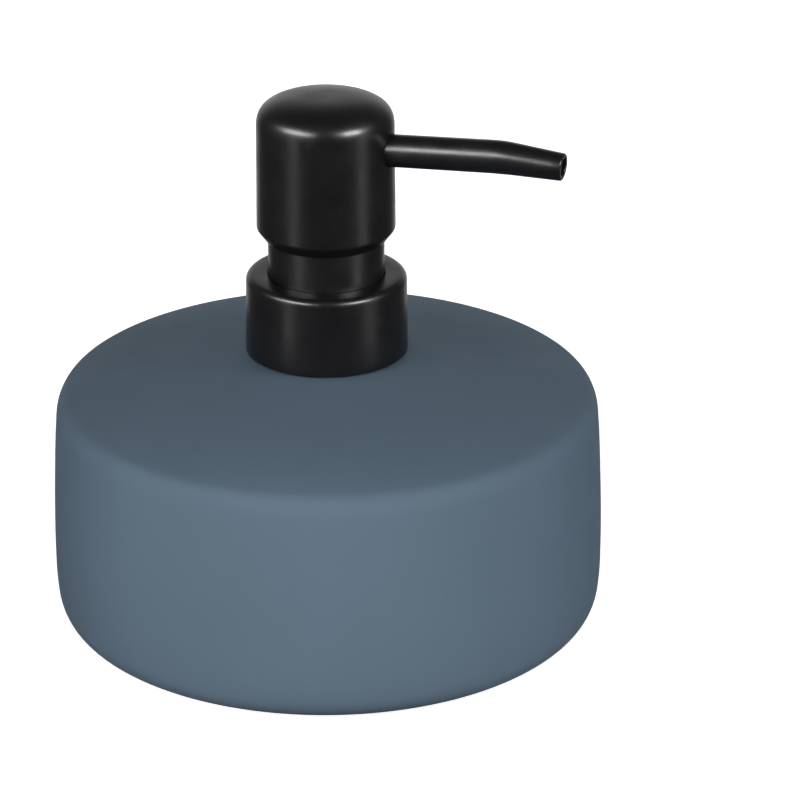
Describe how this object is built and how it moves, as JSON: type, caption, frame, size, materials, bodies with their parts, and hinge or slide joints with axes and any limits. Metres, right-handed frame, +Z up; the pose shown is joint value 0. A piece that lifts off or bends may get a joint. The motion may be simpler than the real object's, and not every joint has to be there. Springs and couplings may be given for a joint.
{
  "type": "soap pump dispenser",
  "caption": "Squat round soap bottle with soft shoulders, a cylindrical collar and a domed press-down pump head with a slim bent spout.",
  "frame": {"origin": "centre of the bottle's underside, at the level of its foot ring", "axes": "+Z up along the bottle's and the pump's common axis; +X towards the spout's tip"},
  "size_m": [0.118, 0.118, 0.1162],
  "materials": {
    "coated_ceramic": "soft-touch matt blue-grey coating",
    "black_plastic": "satin black moulded",
    "inner_black_plastic": "moulded black",
    "natural_plastic": "natural moulded polypropylene",
    "soft_piston_plastic": "soft waxy polyethylene",
    "tube_plastic": "extruded polyethylene",
    "silicone": "matt translucent grey",
    "steel": "bright stainless"
  },
  "bodies": {
    "bottle": {"bottle": "coated_ceramic"},
    "neck": {"neck_insert": "inner_black_plastic", "neck_seal": "silicone"},
    "pump": {"housing": "natural_plastic", "chaplet": "inner_black_plastic", "stem_wiper": "silicone", "spring_cage": "natural_plastic", "return_spring": "steel", "dip_tube": "tube_plastic", "gasket": "silicone"},
    "closure": {"threaded_cap": "inner_black_plastic", "collar_shell": "black_plastic", "guide_sleeve": "black_plastic"},
    "piston": {"piston": "soft_piston_plastic"},
    "head": {"stem": "natural_plastic", "piston_core": "natural_plastic", "actuator_core": "inner_black_plastic", "head_shell": "black_plastic", "spout": "black_plastic"},
    "inlet_ball": {"inlet_ball": "steel"},
    "outlet_ball": {"outlet_ball": "steel"}
  },
  "joints": [
    {"name": "neck_lift", "type": "slide", "parent": "bottle", "child": "neck", "axis": [0, 0, 1], "range_m": [0, 0.08]},
    {"name": "pump_rise", "type": "slide", "parent": "neck", "child": "pump", "axis": [0, 0, 1], "range_m": [0, 0.00636]},
    {"name": "closure_turn", "type": "hinge", "parent": "pump", "child": "closure", "pos_m": [0, 0, 0.07], "axis": [0, 0, 1], "range_deg": [0, 540]},
    {"name": "pump_stroke", "type": "slide", "parent": "pump", "child": "piston", "axis": [0, 0, 1], "range_m": [-0.0075, 0], "stiffness_N_per_m": 800, "springref_m": 0.008, "deforming": ["return_spring"]},
    {"name": "head_swivel", "type": "hinge", "parent": "piston", "child": "head", "pos_m": [0, 0, 0.1], "axis": [0, 0, 1], "continuous": true},
    {"name": "inlet_lift", "type": "slide", "parent": "pump", "child": "inlet_ball", "axis": [0, 0, 1], "range_m": [0, 0.0015]},
    {"name": "outlet_lift", "type": "slide", "parent": "head", "child": "outlet_ball", "axis": [0, 0, 1], "range_m": [0, 0.0015]}
  ],
  "couplings": [
    {"joint": "pump_rise", "follows": "closure_turn", "m_per_rad": 0.00067376}
  ]
}
